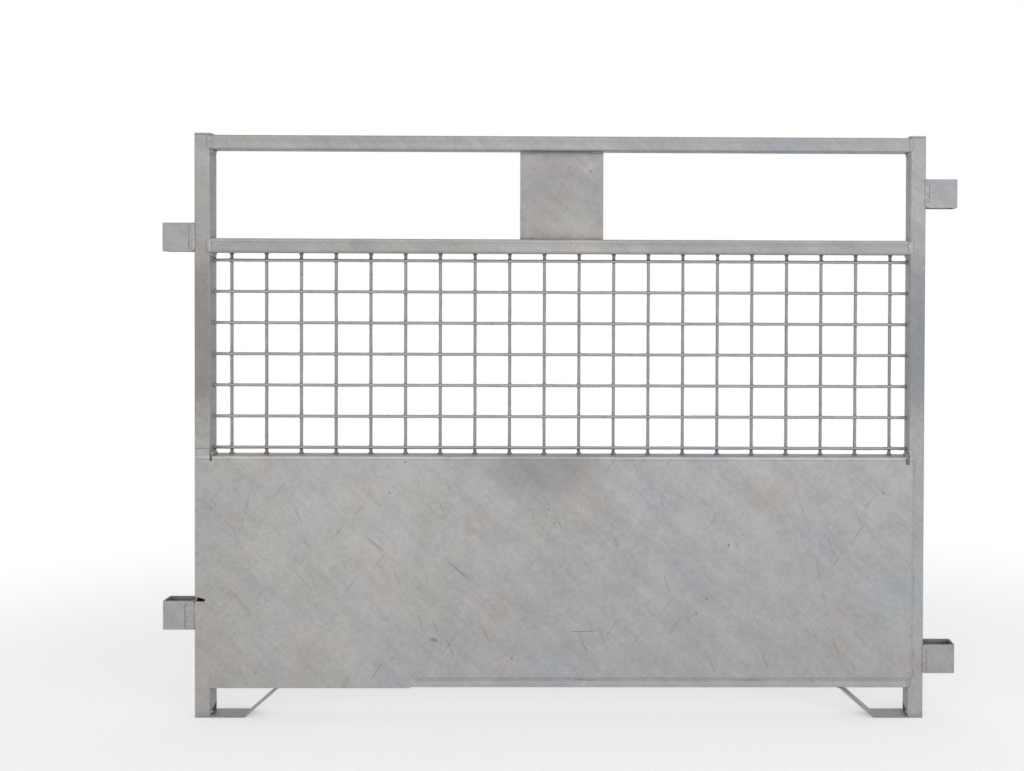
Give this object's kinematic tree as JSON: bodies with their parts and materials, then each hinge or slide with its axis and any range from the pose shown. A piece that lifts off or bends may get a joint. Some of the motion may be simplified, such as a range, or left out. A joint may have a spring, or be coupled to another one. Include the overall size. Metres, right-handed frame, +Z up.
{
  "type": "lambing pen panel",
  "caption": "Welded galvanised panel for a lambing pen: square tube frame, wire mesh above, flanged sheet below, pin sleeves at the sides and strap feet.",
  "frame": {"origin": "middle of the left foot's flat underside, on the ground", "axes": "+X along the panel to its right end, +Y from the sheeted front to the back, +Z up"},
  "size_m": [1.25, 0.0282, 0.92],
  "materials": {
    "galvanised_tube": "matt hot-dip galvanised, cloudy",
    "galvanised_plate": "matt hot-dip galvanised, cloudy",
    "galvanised_wire": "matt hot-dip galvanised with zinc drips",
    "galvanised_sheet": "matt hot-dip galvanised with run marks",
    "galvanised_strap": "matt hot-dip galvanised, scuffed",
    "galvanised_sleeve": "matt hot-dip galvanised, cloudy",
    "galvanised_weld": "rippled weld beads, hot-dip galvanised over"
  },
  "bodies": {
    "root": {"left_post": "galvanised_tube", "right_post": "galvanised_tube", "top_rail": "galvanised_tube", "middle_rail": "galvanised_tube", "bottom_rail": "galvanised_tube", "left_post_cap": "galvanised_plate", "right_post_cap": "galvanised_plate", "blank_plate": "galvanised_plate", "mesh_panel": "galvanised_wire", "lower_sheet": "galvanised_sheet", "left_foot": "galvanised_strap", "right_foot": "galvanised_strap", "upper_left_sleeve": "galvanised_sleeve", "lower_left_sleeve": "galvanised_sleeve", "upper_right_sleeve": "galvanised_sleeve", "lower_right_sleeve": "galvanised_sleeve", "top_rail_welds": "galvanised_weld", "middle_rail_welds": "galvanised_weld", "bottom_rail_welds": "galvanised_weld", "flange_welds": "galvanised_weld", "left_sleeve_welds": "galvanised_weld", "right_sleeve_welds": "galvanised_weld", "foot_welds": "galvanised_weld", "sheet_welds": "galvanised_weld"}
  },
  "joints": []
}
